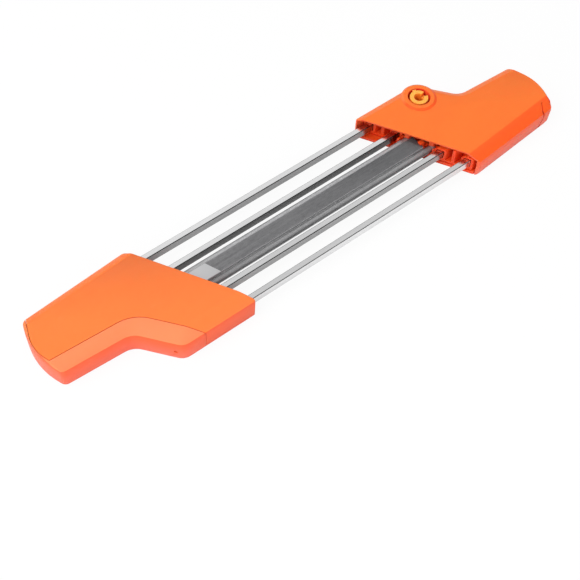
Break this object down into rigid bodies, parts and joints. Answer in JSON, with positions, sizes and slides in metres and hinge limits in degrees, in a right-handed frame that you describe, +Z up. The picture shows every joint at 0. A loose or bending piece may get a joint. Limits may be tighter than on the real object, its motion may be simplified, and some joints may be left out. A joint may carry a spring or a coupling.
{
  "type": "chainsaw file guide",
  "caption": "Hand file guide for saw chains: slanted plastic grips joined by square guide bars, with a flat file between round files and a hinged cover with a quarter-turn lock.",
  "frame": {"origin": "middle of the underside of the whole guide", "axes": "+X runs along the bars towards the opening grip, +Y points to the side where that grip's lock sits, +Z is up"},
  "size_m": [0.3936, 0.0798, 0.0194],
  "materials": {
    "grip_plastic": "fine satin orange",
    "inner_plastic": "satin orange, a shade deeper",
    "lock_plastic": "amber yellow, slightly glossy",
    "bar_chrome": "bright drawn plate",
    "file_steel": "grey cut teeth with smooth ends",
    "zinc_screws": "zinc plated",
    "spring_steel": "oiled spring steel"
  },
  "bodies": {
    "frame": {"left_lower_shell": "grip_plastic", "left_upper_shell": "grip_plastic", "left_bar_holder_front": "inner_plastic", "left_bar_holder_rear": "inner_plastic", "left_file_socket": "inner_plastic", "left_holder_screw_front": "zinc_screws", "left_holder_screw_rear": "zinc_screws", "left_shell_screw_1": "zinc_screws", "left_shell_screw_2": "zinc_screws", "left_shell_screw_3": "zinc_screws", "right_tray": "inner_plastic", "right_bar_holder_front": "inner_plastic", "right_bar_holder_rear": "inner_plastic", "right_holder_screw_front": "zinc_screws", "right_holder_screw_rear": "zinc_screws", "outer_guide_bar_front": "bar_chrome", "outer_guide_bar_rear": "bar_chrome", "inner_guide_bar_front": "bar_chrome", "inner_guide_bar_rear": "bar_chrome", "flat_file": "file_steel", "round_file_front": "file_steel", "round_file_rear": "file_steel"},
    "cover": {"right_cover": "grip_plastic"},
    "lock": {"lock_ring": "lock_plastic", "lock_clip": "spring_steel"}
  },
  "joints": [
    {"name": "cover_hinge", "type": "hinge", "parent": "frame", "child": "cover", "pos_m": [0.1934, -0.0115, 0.0046], "axis": [0, 1, 0], "range_deg": [0, 60]},
    {"name": "lock_turn", "type": "hinge", "parent": "cover", "child": "lock", "pos_m": [0.1188, 0.0256, 0.0136], "axis": [0, 0, 1], "range_deg": [0, 90]}
  ]
}
